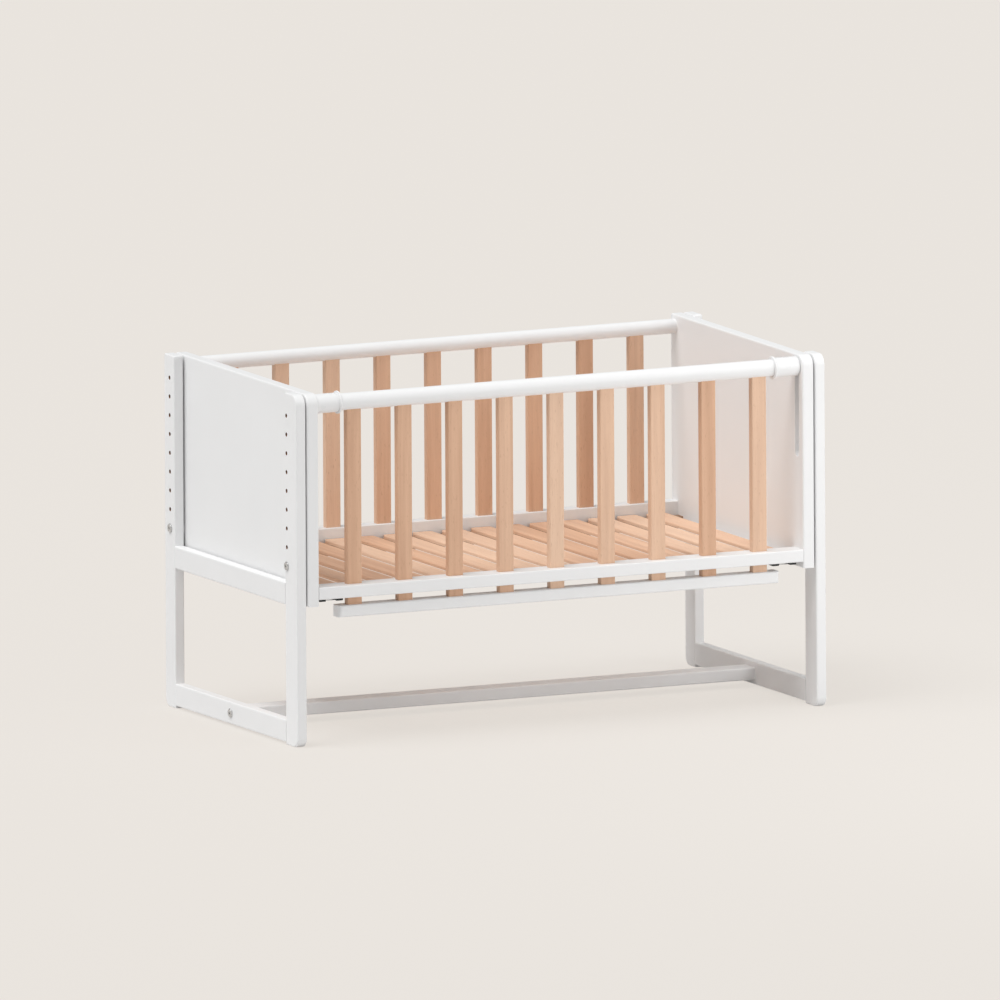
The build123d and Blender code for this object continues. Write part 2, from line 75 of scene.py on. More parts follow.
class Graph:
    """A material's nodes, with short calls that add a node and join its sockets."""

    # Where most of a noise's values lie
    NOISE_RANGE = (0.3, 0.7)
    # How alike the softened and the true normal are on flat faces and on sharp edges
    FLAT, SHARP = 0.995, 0.80
    BEVEL_SAMPLES = 4

    def __init__(self, name: str) -> None:
        """Starts an empty material with its surface shader.

        Args:
            name: the material's name.
        """
        self.material = bpy.data.materials.new(name)
        self.material.use_nodes = True
        self.nodes = self.material.node_tree.nodes
        self.links = self.material.node_tree.links
        self.surface = self.nodes["Principled BSDF"]

    def put(self, socket: Socket, value: Optional[Value]) -> None:
        """Joins or sets one input.

        Args:
            socket: the input.
            value: a socket to join, or a number or tuple to set.
        """
        if isinstance(value, Socket):
            self.links.new(value, socket)
        elif value is not None:
            if isinstance(value, tuple) and len(value) == 3 and socket.type == "RGBA":
                value = (*value, 1.0)
            socket.default_value = value

    def add(self, kind: str, out: Union[int, str] = 0, settings: Optional[dict[str, Any]] = None,
            **values: Value) -> Socket:
        """Adds a node.

        Args:
            kind: the node's type, without its leading "ShaderNode".
            out: the output to return.
            settings: properties of the node.
            values: inputs by name, with an underscore for a space.

        Returns:
            The output socket.
        """
        node = self.nodes.new("ShaderNode" + kind)
        for key, setting in (settings or {}).items():
            setattr(node, key, setting)
        for key, value in values.items():
            self.put(node.inputs[key.replace("_", " ")], value)
        return node.outputs[out]

    def math(self, operation: str, *terms: Value) -> Socket:
        """Adds a Math node.

        Args:
            operation: its operation.
            terms: its inputs in order.

        Returns:
            The result.
        """
        node = self.nodes.new("ShaderNodeMath")
        node.operation = operation
        for socket, term in zip(node.inputs, terms):
            self.put(socket, term)
        return node.outputs[0]

    def mix(self, share: Value, low: Value, high: Value) -> Socket:
        """Mixes two colours.

        Args:
            share: how much of the second colour shows.
            low: the first colour.
            high: the second colour.

        Returns:
            The mixed colour.
        """
        node = self.nodes.new("ShaderNodeMix")
        node.data_type = "RGBA"
        for index, value in ((0, share), (6, low), (7, high)):
            self.put(node.inputs[index], value)
        return node.outputs[2]

    def ramp(self, value: Socket, low: float, high: float,
             to_low: float = 0.0, to_high: float = 1.0) -> Socket:
        """Maps a range of a value onto another, clamped.

        Args:
            value: the value.
            low: the start of its range.
            high: the end of its range.
            to_low: what the start becomes.
            to_high: what the end becomes.

        Returns:
            The mapped value.
        """
        node = self.nodes.new("ShaderNodeMapRange")
        for index, item in enumerate((value, low, high, to_low, to_high)):
            self.put(node.inputs[index], item)
        return node.outputs[0]

    def rough(self, pattern: Socket, smooth: float, coarse: float) -> Socket:
        """Turns a noise into a roughness.

        Args:
            pattern: the noise.
            smooth: the least roughness.
            coarse: the greatest roughness.

        Returns:
            The roughness.
        """
        return self.ramp(pattern, *self.NOISE_RANGE, smooth, coarse)

    def place(self) -> Socket:
        """Returns the place of each point on the crib, in metres."""
        return self.add("TexCoord", "Object")

    def split(self, place: Socket) -> bpy.types.bpy_prop_collection:
        """Returns the coordinates of a place, by name."""
        node = self.nodes.new("ShaderNodeSeparateXYZ")
        self.put(node.inputs[0], place)
        return node.outputs

    def shifted(self, place: Socket, shift: Socket, reach: float) -> Socket:
        """Moves a place by a random amount, so that each piece shows its own part of a pattern.

        Args:
            place: the place.
            shift: a random place between 0 and 1.
            reach: the longest move along each axis, in metres.

        Returns:
            The moved place.
        """
        node = self.nodes.new("ShaderNodeVectorMath")
        node.operation = "MULTIPLY_ADD"
        for socket, value in zip(node.inputs, (shift, (reach, reach, reach), place)):
            self.put(socket, value)
        return node.outputs[0]

    def stretched(self, place: Socket, scale: tuple) -> Socket:
        """Scales a place, which stretches any pattern read from it.

        Args:
            place: the place.
            scale: the factor along each axis.

        Returns:
            The scaled place.
        """
        return self.add("Mapping", Vector=place, Scale=scale)

    def noise(self, place: Socket, scale: float, detail: float = 2.0, roughness: float = 0.5) -> Socket:
        """Reads a cloudy noise.

        Args:
            place: where to read it.
            scale: how many cells it has in a metre.
            detail: how many finer layers it has.
            roughness: how strong the finer layers are.

        Returns:
            The noise, about 0.5 on average.
        """
        return self.add("TexNoise", Vector=place, Scale=scale, Detail=detail, Roughness=roughness)

    def bump(self, height: Socket, distance: float, strength: float = 1.0,
             normal: Optional[Socket] = None) -> Socket:
        """Raises the surface by a height pattern.

        Args:
            height: the pattern.
            distance: the height of the pattern in metres.
            strength: how much of it shows.
            normal: the normal of an earlier bump.

        Returns:
            The new normal.
        """
        node = self.nodes.new("ShaderNodeBump")
        values = {"Height": height, "Distance": distance, "Strength": strength, "Normal": normal}
        for key, value in values.items():
            self.put(node.inputs[key], value)
        return node.outputs[0]

    def edges(self, width: float) -> Socket:
        """Finds the rounded edges: where the normal turns within a width from the point.

        Args:
            width: the width in metres.

        Returns:
            0 on flat faces, rising to 1 on edges.
        """
        soft = self.add("Bevel", settings={"samples": self.BEVEL_SAMPLES}, Radius=width)
        true = self.add("NewGeometry", "Normal")
        node = self.nodes.new("ShaderNodeVectorMath")
        node.operation = "DOT_PRODUCT"
        self.put(node.inputs[0], soft)
        self.put(node.inputs[1], true)
        return self.ramp(node.outputs["Value"], self.FLAT, self.SHARP)

    def finish(self, **values: Value) -> bpy.types.Material:
        """Sets the surface shader's inputs.

        Args:
            values: inputs by name, with an underscore for a space.

        Returns:
            The finished material.
        """
        for key, value in values.items():
            self.put(self.surface.inputs[key.replace("_", " ")], value)
        return self.material


@dataclass(frozen=True)
class Lacquer:
    """White satin lacquer on solid wood, with painted highlights on its edges and bare wood with painted shade
    in holes.

    Here and in the other finishes, cells are counted per metre, lengths are in metres, a range is the
    part of a noise over which a colour fades in, and a share is how much of that colour shows at most.
    """

    grain: Grain = Grain.ALONG_X
    drilled: bool = False
    colour: tuple = (0.876, 0.878, 0.880)
    shade: tuple = (0.862, 0.864, 0.865)
    # A paler white, painted on rounded edges as a highlight.
    edge_highlight: tuple = (0.895, 0.895, 0.895)
    # Bare wood in the drilled holes, painted far darker than bare beech: painted shade in the holes.
    bare_wood_and_shade: tuple = (0.27, 0.14, 0.08)
    fibre_cells: float = 260.0
    fibre_range: tuple = (0.55, 0.8)
    fibre_share: float = 0.35
    fibre_height: float = 0.00004
    cloud_cells: float = 7.0
    cloud_range: tuple = (0.35, 0.7)
    peel_cells: float = 850.0
    peel_height: float = 0.00002
    relief: float = 0.5
    edge_width: float = 0.0012
    edge_share: float = 0.6
    roughness: tuple = (0.36, 0.44)
    bare_roughness: float = 0.8
    refraction: float = 1.46
    hole_count: int = 9
    hole_rows: tuple = (-0.2217, 0.2385)
    hole_top: float = 0.561
    hole_pitch: float = 0.032
    hole_radius: float = 0.00355

    def holes(self, graph: Graph, place: Socket) -> Socket:
        """Finds the walls of the drilled holes: the distance to the nearest hole's axis is its radius.

        Args:
            graph: the material's graph.
            place: the place of each point.

        Returns:
            1 inside the holes, 0 elsewhere.
        """
        parts = graph.split(place)
        to_row = [graph.math("ABSOLUTE", graph.math("SUBTRACT", parts["Y"], row)) for row in self.hole_rows]
        along = graph.math("PINGPONG", graph.math("SUBTRACT", parts["Z"], self.hole_top), self.hole_pitch)
        folded = graph.math("MINIMUM", along, graph.math("SUBTRACT", self.hole_pitch, along))
        across = graph.math("MINIMUM", *to_row)
        away = graph.math("SQRT", graph.math("ADD", graph.math("POWER", across, 2.0),
                                             graph.math("POWER", folded, 2.0)))
        inside = graph.math("LESS_THAN", away, self.hole_radius)
        middle = self.hole_top - (self.hole_count - 1) / 2 * self.hole_pitch
        from_middle = graph.math("ABSOLUTE", graph.math("SUBTRACT", parts["Z"], middle))
        in_row = graph.math("LESS_THAN", from_middle, self.hole_count / 2 * self.hole_pitch)
        return graph.math("MULTIPLY", inside, in_row)

    def build(self) -> bpy.types.Material:
        """Builds the lacquer.

        Returns:
            The material.
        """
        graph = Graph(f"lacquer_{self.grain.name.lower()}{'_drilled' if self.drilled else ''}")
        place = graph.place()
        fibre = graph.noise(graph.stretched(place, self.grain.value), self.fibre_cells, 3.0)
        cloud = graph.noise(place, self.cloud_cells, 2.0)
        peel = graph.noise(place, self.peel_cells, 1.0)
        colour = graph.mix(graph.ramp(cloud, *self.cloud_range), self.colour, self.shade)
        colour = graph.mix(graph.ramp(fibre, *self.fibre_range, 0.0, self.fibre_share), colour, self.shade)
        # Painted highlight: rounded edges are mixed towards the paler white.
        colour = graph.mix(graph.math("MULTIPLY", graph.edges(self.edge_width), self.edge_share),
                           colour, self.edge_highlight)
        rough = graph.rough(cloud, *self.roughness)
        if self.drilled:
            holes = self.holes(graph, place)
            # Hole walls take the dark bare colour: bare wood with painted shade.
            colour = graph.mix(holes, colour, self.bare_wood_and_shade)
            rough = graph.math("MAXIMUM", rough, graph.math("MULTIPLY", holes, self.bare_roughness))
        normal = graph.bump(fibre, self.fibre_height, self.relief)
        normal = graph.bump(peel, self.peel_height, self.relief, normal)
        return graph.finish(Base_Color=colour, Roughness=rough, Normal=normal, IOR=self.refraction)


@dataclass(frozen=True)
class Beech:
    """Bare beech: pink tan with long soft bands, fine fibres, short dark flecks and a tone for each slat."""

    grain: Grain
    slats: Slats
    light: tuple = (0.800, 0.510, 0.340)
    dark: tuple = (0.660, 0.395, 0.255)
    fleck: tuple = (0.430, 0.225, 0.130)
    pale: tuple = (0.860, 0.640, 0.480)
    deep: tuple = (0.600, 0.350, 0.220)
    band_cells: float = 75.0
    band_range: tuple = (0.36, 0.68)
    fine_cells: float = 900.0
    fine_range: tuple = (0.5, 0.8)
    fine_share: float = 0.45
    fine_relief: float = 0.6
    fleck_cells: float = 620.0
    fleck_stretch: float = 0.16
    fleck_range: tuple = (0.66, 0.74)
    fleck_share: float = 0.28
    fleck_relief: float = 0.4
    pale_range: tuple = (0.45, 1.0)
    pale_share: float = 0.60
    deep_range: tuple = (0.40, 0.0)
    deep_share: float = 0.40
    shift_reach: float = 3.0
    height: float = 0.00005
    roughness: tuple = (0.50, 0.62)
    refraction: float = 1.45

    def own_tone(self, graph: Graph, place: Socket) -> tuple[Socket, Socket]:
        """Draws a random colour for each slat, from its number along the crib and its side of the crib.

        Args:
            graph: the material's graph.
            place: the place of each point.

        Returns:
            A random number for each slat, and a random place that shifts its pattern.
        """
        pitch, offset = self.slats.value
        parts = graph.split(place)
        pitches = graph.math("DIVIDE", parts["X"], pitch)
        number = graph.math("FLOOR", graph.math("ADD", pitches, 0.5 - offset))
        row = graph.math("SIGN", parts["Y"]) if self.slats is Slats.UPRIGHT else 0.0
        seed = graph.add("CombineXYZ", X=number, Y=row, Z=1.7)
        noise = graph.nodes.new("ShaderNodeTexWhiteNoise")
        graph.put(noise.inputs["Vector"], seed)
        return noise.outputs["Value"], noise.outputs["Color"]

    def build(self) -> bpy.types.Material:
        """Builds the beech.

        Returns:
            The material.
        """
        graph = Graph(f"beech_{self.slats.name.lower()}")
        place = graph.place()
        tone, shift = self.own_tone(graph, place)
        moved = graph.shifted(place, shift, self.shift_reach)
        fibres = graph.stretched(moved, self.grain.value)
        bands = graph.noise(fibres, self.band_cells, 3.0, 0.55)
        fine = graph.noise(fibres, self.fine_cells, 2.0, 0.6)
        short = tuple(1.0 if part == 1.0 else self.fleck_stretch for part in self.grain.value)
        flecks = graph.noise(graph.stretched(moved, short), self.fleck_cells, 1.0, 0.4)
        colour = graph.mix(graph.ramp(bands, *self.band_range), self.light, self.dark)
        colour = graph.mix(graph.ramp(tone, *self.pale_range, 0.0, self.pale_share), colour, self.pale)
        colour = graph.mix(graph.ramp(tone, *self.deep_range, 0.0, self.deep_share), colour, self.deep)
        colour = graph.mix(graph.ramp(fine, *self.fine_range, 0.0, self.fine_share), colour, self.dark)
        colour = graph.mix(graph.ramp(flecks, *self.fleck_range, 0.0, self.fleck_share), colour, self.fleck)
        rough = graph.rough(fine, *self.roughness)
        normal = graph.bump(fine, self.height, self.fine_relief)
        normal = graph.bump(flecks, self.height, self.fleck_relief, normal)
        return graph.finish(Base_Color=colour, Roughness=rough, Normal=normal, IOR=self.refraction)


@dataclass(frozen=True)
class Plastic:
    """Moulded plastic with a fine eroded texture and a painted highlight that makes its edges slightly
    brighter.
    """

    name: str
    colour: tuple
    # The brighter colour, painted on rounded edges as a highlight.
    edge_highlight: tuple
    roughness: float
    texture: float = 0.00002
    spark_cells: float = 1800.0
    cloud_cells: float = 60.0
    spread: float = 0.05
    edge_width: float = 0.0006
    edge_share: float = 0.7
    relief: float = 0.6
    refraction: float = 1.49

    def build(self) -> bpy.types.Material:
        """Builds the plastic.

        Returns:
            The material.
        """
        graph = Graph(self.name)
        place = graph.place()
        sparks = graph.noise(place, self.spark_cells, 2.0)
        cloud = graph.noise(place, self.cloud_cells, 2.0)
        # Painted highlight: rounded edges are mixed towards the brighter colour.
        colour = graph.mix(graph.math("MULTIPLY", graph.edges(self.edge_width), self.edge_share),
                           self.colour, self.edge_highlight)
        rough = graph.rough(cloud, self.roughness - self.spread, self.roughness + self.spread)
        normal = graph.bump(sparks, self.texture, self.relief)
        return graph.finish(Base_Color=colour, Roughness=rough, Normal=normal, IOR=self.refraction)


@dataclass(frozen=True)
class Steel:
    """Zinc-plated steel, brushed by the tumbler, in patches of a darker and a paler worn tone, with the paler
    tone painted on its edges as a highlight.
    """

    name: str = "bright_zinc"
    colour: tuple = (0.50, 0.50, 0.50)
    # The paler tone: worn patches, and a painted highlight on the edges.
    worn_and_edge_highlight: tuple = (0.74, 0.74, 0.73)
    roughness: float = 0.30
    smoother: float = 0.08
    rougher: float = 0.10
    cloud_cells: float = 420.0
    cloud_range: tuple = (0.4, 0.65)
    scratch_cells: float = 4200.0
    scratch_stretch: tuple = (1.0, 1.0, 0.05)
    scratch_height: float = 0.00001
    relief: float = 0.4
    edge_width: float = 0.0004

    def build(self) -> bpy.types.Material:
        """Builds the steel.

        Returns:
            The material.
        """
        graph = Graph(self.name)
        place = graph.place()
        cloud = graph.noise(place, self.cloud_cells, 3.0, 0.6)
        scratches = graph.noise(graph.stretched(place, self.scratch_stretch), self.scratch_cells, 2.0)
        colour = graph.mix(graph.ramp(cloud, *self.cloud_range), self.colour, self.worn_and_edge_highlight)
        # Painted highlight: edges are mixed to the paler tone.
        colour = graph.mix(graph.edges(self.edge_width), colour, self.worn_and_edge_highlight)
        rough = graph.rough(cloud, self.roughness - self.smoother, self.roughness + self.rougher)
        normal = graph.bump(scratches, self.scratch_height, self.relief)
        return graph.finish(Base_Color=colour, Metallic=1.0, Roughness=rough, Normal=normal)


# Bare beech for the slat ledges, painted far darker than the slats' beech: painted shade in the gaps between
# the base slats.
LEDGE_WOOD_AND_SHADE = Beech(Grain.ALONG_X, Slats.NONE, light=(0.30, 0.17, 0.10), dark=(0.22, 0.12, 0.07),
                   pale=(0.34, 0.20, 0.12), deep=(0.20, 0.11, 0.06))
# Each plastic's second colour is a painted highlight on its edges.
WHITE_PLASTIC = Plastic("white_plastic", (0.86, 0.862, 0.865), (0.89, 0.89, 0.89), 0.30)
BLACK_PLASTIC = Plastic("black_plastic", (0.012, 0.012, 0.013), (0.05, 0.05, 0.052), 0.48, 0.00004)


def dress(names: list[str], material: bpy.types.Material) -> None:
    """Gives nodes a finish.

    Args:
        names: the nodes.
        material: the finish.
    """
    for name in names:
        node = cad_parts[name]
        if not node.material_slots:
            node.data.materials.append(material)
        for place in node.material_slots:
            place.material = material


def grid_mesh(name: str, points: np.ndarray, material: bpy.types.Material, around: bool = False,
              caps: bool = False, smooth: bool = True) -> bpy.types.Object:
    """Makes a mesh of a grid of points: each cell of four neighbours is one face.

    Args:
        name: the piece's name.
        points: the grid, rows by columns by three, in metres.
        material: the finish.
        around: True where the last column joins the first.
        caps: True where the first and last rows are closed by one face each.
        smooth: True where the faces are shaded as one curved surface.

    Returns:
        The new piece.
    """
    rows, columns = points.shape[:2]
    index = np.arange(rows * columns).reshape(rows, columns)
    nearer = index if around else index[:, :-1]
    further = np.roll(index, -1, axis=1) if around else index[:, 1:]
    quads = np.stack((nearer[:-1], further[:-1], further[1:], nearer[1:]), axis=-1).reshape(-1, 4)
    faces = quads.tolist()
    if caps:
        faces += [index[0, ::-1].tolist(), index[-1].tolist()]
    mesh = bpy.data.meshes.new(name)
    mesh.from_pydata(points.reshape(-1, 3).tolist(), [], faces)
    if caps:
        shell = bmesh.new()
        shell.from_mesh(mesh)
        bmesh.ops.recalc_face_normals(shell, faces=shell.faces)
        shell.to_mesh(mesh)
        shell.free()
    mesh.polygons.foreach_set("use_smooth", np.full(len(faces), smooth))
    mesh.materials.append(material)
    piece = bpy.data.objects.new(name, mesh)
    bpy.context.scene.collection.objects.link(piece)
    return piece


@dataclass
class LegFrames:
    """The two open leg frames and the stretcher between them."""

    posts: tuple = ("front_post", "rear_post")
    rails: tuple = ("mid_rail", "foot_rail")

    def dress(self) -> None:
        """Lacquers the posts along their height, the rails along the depth, the stretcher along its length."""
        dress([f"{side}_{post}" for side in SIDES for post in self.posts],
              Lacquer(Grain.ALONG_Z, drilled=True).build())
        dress([f"{side}_{rail}" for side in SIDES for rail in self.rails], Lacquer(Grain.ALONG_Y).build())
        dress(["stretcher"], Lacquer(Grain.ALONG_X).build())
        LOG.info("leg frames dressed")


@dataclass
class Box:
    """The end boards, rails and slats of the fixed box, and its slatted base."""

    rails: tuple = ("rear_top_rail", "rear_lower_rail", "front_lower_rail")
    ledges: tuple = ("front_ledge", "rear_ledge")

    def dress(self, upright: bpy.types.Material) -> None:
        """Lacquers the boards and rails, leaves the slats bare and gives the ledges bare beech darkened by
        painted shade.

        Args:
            upright: the beech of the upright slats.
        """
        dress([f"{side}_end_board" for side in SIDES], Lacquer(Grain.ALONG_Y).build())
        dress(list(self.rails), Lacquer(Grain.ALONG_X).build())
        dress([f"rear_slat_{number + 1}" for number in range(SLAT_COUNT)], upright)
        dress(["base_slats"], Beech(Grain.ALONG_Y, Slats.BASE).build())
        # The ledges take dark beech: bare wood darkened by painted shade.
        dress(list(self.ledges), LEDGE_WOOD_AND_SHADE.build())
        LOG.info("box dressed")


@dataclass
class DropSide:
    """The side that slides down: a round top rail, slats and a lower bar."""

    rails: tuple = ("drop_top_rail", "drop_lower_bar")

    def dress(self, upright: bpy.types.Material) -> None:
        """Lacquers the rails and leaves the slats bare.

        Args:
            upright: the beech of the upright slats.
        """
        dress(list(self.rails), Lacquer(Grain.ALONG_X).build())
        dress([f"drop_slat_{number + 1}" for number in range(SLAT_COUNT)], upright)
        LOG.info("drop side dressed")


@dataclass
class Lock:
    """A lock at one end of the drop side: a flanged sleeve, a guide pin and a coiled spring inside."""

    side: str
    turns: float = 7.0
    closing: float = 0.35
    coil_radius: float = 6.7 * MM
    wire_radius: float = 0.75 * MM
    rows: int = 240
    columns: int = 10

    def spring(self, steel: bpy.types.Material) -> bpy.types.Object:
        """Winds the spring: a circle of the wire's radius carried along a helix about the rail's axis.

        The helix keeps one pitch, less at both ends, where the coils close up.

        Args:
            steel: the finish.

        Returns:
            The spring.
        """
        low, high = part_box(f"{self.side}_lock_spring")
        middle_y, middle_z = (low.y + high.y) / 2, (low.z + high.z) / 2
        share = np.linspace(0.0, 1.0, self.rows)
        angle = share * self.turns * 2 * math.pi
        eased = share - self.closing * np.sin(2 * math.pi * share) / (2 * math.pi)
        run = (high.x - low.x) - 2 * self.wire_radius
        path = np.stack((low.x + self.wire_radius + eased * run,
                         middle_y + self.coil_radius * np.cos(angle),
                         middle_z + self.coil_radius * np.sin(angle)), axis=-1)
        ahead = np.gradient(path, axis=0)
        ahead /= np.linalg.norm(ahead, axis=1, keepdims=True)
        out = np.stack((np.zeros_like(angle), np.cos(angle), np.sin(angle)), axis=-1)
        side = np.cross(ahead, out)
        turn = np.linspace(0.0, 2 * math.pi, self.columns, endpoint=False)
        ring = (np.cos(turn)[None, :, None] * out[:, None] + np.sin(turn)[None, :, None] * side[:, None])
        points = path[:, None] + self.wire_radius * ring
        piece = grid_mesh(f"{self.side}_coil", points[:, ::-1], steel, around=True, caps=True)
        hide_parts(f"{self.side}_lock_spring")
        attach(piece, f"{self.side}_lock")
        return piece

    def dress(self, plastic: bpy.types.Material) -> None:
        """Gives the sleeve and pin their plastic.

        Args:
            plastic: the finish.
        """
        dress([f"{self.side}_lock_sleeve", f"{self.side}_guide_pin"], plastic)

    def build(self, plastic: bpy.types.Material, steel: bpy.types.Material) -> None:
        """Builds and dresses the lock.

        Args:
            plastic: the sleeve's finish.
            steel: the spring's finish.
        """
        self.dress(plastic)
        piece = self.spring(steel)
        LOG.info("%s lock: %s", self.side, piece.name)


@dataclass
class BeltLoop:
    """A belt loop under the front lower rail: a thin steel rod between two feet with cross-head screws."""

    side: str
    height: float = 5.8 * MM
    foot: float = 12.6 * MM
    corner: float = 1.4 * MM
    rounding: float = 0.5 * MM
    rounding_points: int = 4
    arc_points: int = 6
    rod_radius: float = 0.8 * MM
    rod_drop: float = 4.7 * MM
    rod_hold: float = 3.0 * MM
    rod_points: int = 16
    head_radius: float = 3.0 * MM
    head_rise: float = 0.8 * MM
    head_core: float = 0.02
    head_fall: float = 0.75
    slot_half: float = 0.55 * MM
    slot_reach: float = 1.9 * MM
    slot_depth: float = 0.6 * MM
    slot_wall: float = 0.35
    rings: int = 26
    spokes: int = 72

    def foot_middles(self) -> tuple[float, float]:
        """Returns where the middles of the two feet are along the crib."""
        low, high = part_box(f"{self.side}_belt_loop")
        return low.x + self.foot / 2, high.x - self.foot / 2

    def outline(self, inset: float) -> np.ndarray:
        """Draws a foot from the side: a rectangle whose lower corners are quarter circles.

        Args:
            inset: how far the edges move in.

        Returns:
            Points across and down from the middle of the top.
        """
        half, depth, turn = self.foot / 2 - inset, self.height - inset, self.corner - inset
        quarter = np.linspace(0.0, math.pi / 2, self.arc_points)
        arc = np.stack((-np.cos(quarter), np.sin(quarter)), axis=-1)
        left = np.array([turn - half, depth - turn]) + turn * arc
        tops = np.array([[-half, 0.0], [half, 0.0]])
        return np.concatenate((tops[:1], left, left[::-1] * np.array([-1.0, 1.0]), tops[1:]))

    def feet(self, plastic: bpy.types.Material) -> list[bpy.types.Object]:
        """Carries the foot's outline across the rail; its edges round off by a quarter circle at both faces.

        Args:
            plastic: the finish.

        Returns:
            The two feet.
        """
        low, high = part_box(f"{self.side}_belt_loop")
        quarter = np.linspace(0.0, math.pi / 2, self.rounding_points)
        insets = self.rounding * (1.0 - np.sin(quarter))
        steps = self.rounding * (1.0 - np.cos(quarter))
        places = np.concatenate((low.y + steps, (high.y - steps)[::-1]))
        rows = np.stack([self.outline(inset) for inset in np.concatenate((insets, insets[::-1]))])
        across = np.broadcast_to(places[:, None], rows.shape[:2])
        pieces = []
        for number, middle_x in enumerate(self.foot_middles()):
            points = np.stack((middle_x + rows[..., 0], across, high.z - rows[..., 1]), axis=-1)
            piece = grid_mesh(f"{self.side}_loop_foot_{number + 1}", points, plastic,
                              around=True, caps=True, smooth=False)
            pieces.append(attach(piece, "crib_frame"))
        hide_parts(f"{self.side}_belt_loop")
        return pieces

    def rod(self, steel: bpy.types.Material) -> bpy.types.Object:
        """Carries a circle along the straight line between the feet.

        Args:
            steel: the finish.

        Returns:
            The rod.
        """
        low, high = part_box(f"{self.side}_belt_loop")
        reach = self.foot - self.rod_hold
        along = np.array([low.x + reach, high.x - reach])[:, None]
        angle = np.linspace(0.0, 2 * math.pi, self.rod_points, endpoint=False)[None, :]
        across = (low.y + high.y) / 2 + self.rod_radius * np.cos(angle)
        upward = high.z - self.rod_drop + self.rod_radius * np.sin(angle)
        points = np.stack(np.broadcast_arrays(along, across, upward), axis=-1)
        piece = grid_mesh(f"{self.side}_loop_rod", points, steel, around=True, caps=True)
        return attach(piece, "crib_frame")

    def screws(self, steel: bpy.types.Material) -> list[bpy.types.Object]:
        """Turns the screw heads: a low dome over polar coordinates, less a cross-shaped recess in its middle.

        The dome falls by the square of the radius. The recess is as deep as the point is far inside
        either arm of the cross, up to its full depth.

        Args:
            steel: the finish.

        Returns:
            The heads.
        """
        low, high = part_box(f"{self.side}_belt_loop")
        steps = np.linspace(self.head_core, 1.0, self.rings - 1)
        radius = np.concatenate((steps, [1.0]))[:, None] * self.head_radius
        angle = np.linspace(0.0, 2 * math.pi, self.spokes, endpoint=False)[None, :]
        across, along = radius * np.cos(angle), radius * np.sin(angle)
        dome = self.head_rise * (1.0 - self.head_fall * (radius / self.head_radius) ** 2)
        arm_one = np.minimum(self.slot_half - np.abs(across), self.slot_reach - np.abs(along))
        arm_two = np.minimum(self.slot_half - np.abs(along), self.slot_reach - np.abs(across))
        inside = np.clip(np.maximum(arm_one, arm_two) / (self.slot_wall * self.slot_half), 0.0, 1.0)
        rise = dome - self.slot_depth * inside
        rise[-1] = 0.0
        heads = []
        for number, middle_x in enumerate(self.foot_middles()):
            points = np.stack((middle_x + across, (low.y + high.y) / 2 + along,
                               high.z - self.height - rise), axis=-1)
            head = grid_mesh(f"{self.side}_loop_screw_{number + 1}", points, steel, around=True, caps=True)
            heads.append(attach(head, "crib_frame"))
        return heads

    def build(self, plastic: bpy.types.Material, steel: bpy.types.Material) -> None:
        """Builds the loop and its screws.

        Args:
            plastic: the feet's finish.
            steel: the rod's and the screws' finish.
        """
        pieces = [*self.feet(plastic), self.rod(steel), *self.screws(steel)]
        LOG.info("%s belt loop: %d pieces", self.side, len(pieces))


@dataclass
class Fasteners:
    """The bolts, nuts and spacers that hold the crib together."""

    steel: tuple = ("box_bolts", "stretcher_bolts", "insert_nuts", "barrel_nuts")

    def dress(self, steel: bpy.types.Material, plastic: bpy.types.Material) -> None:
        """Plates the steel and leaves the spacers as they are moulded.

        Args:
            steel: the bolts' finish.
            plastic: the spacers' finish.
        """
        dress(list(self.steel), steel)
        dress(["spacer_washers"], plastic)
        LOG.info("fasteners dressed")


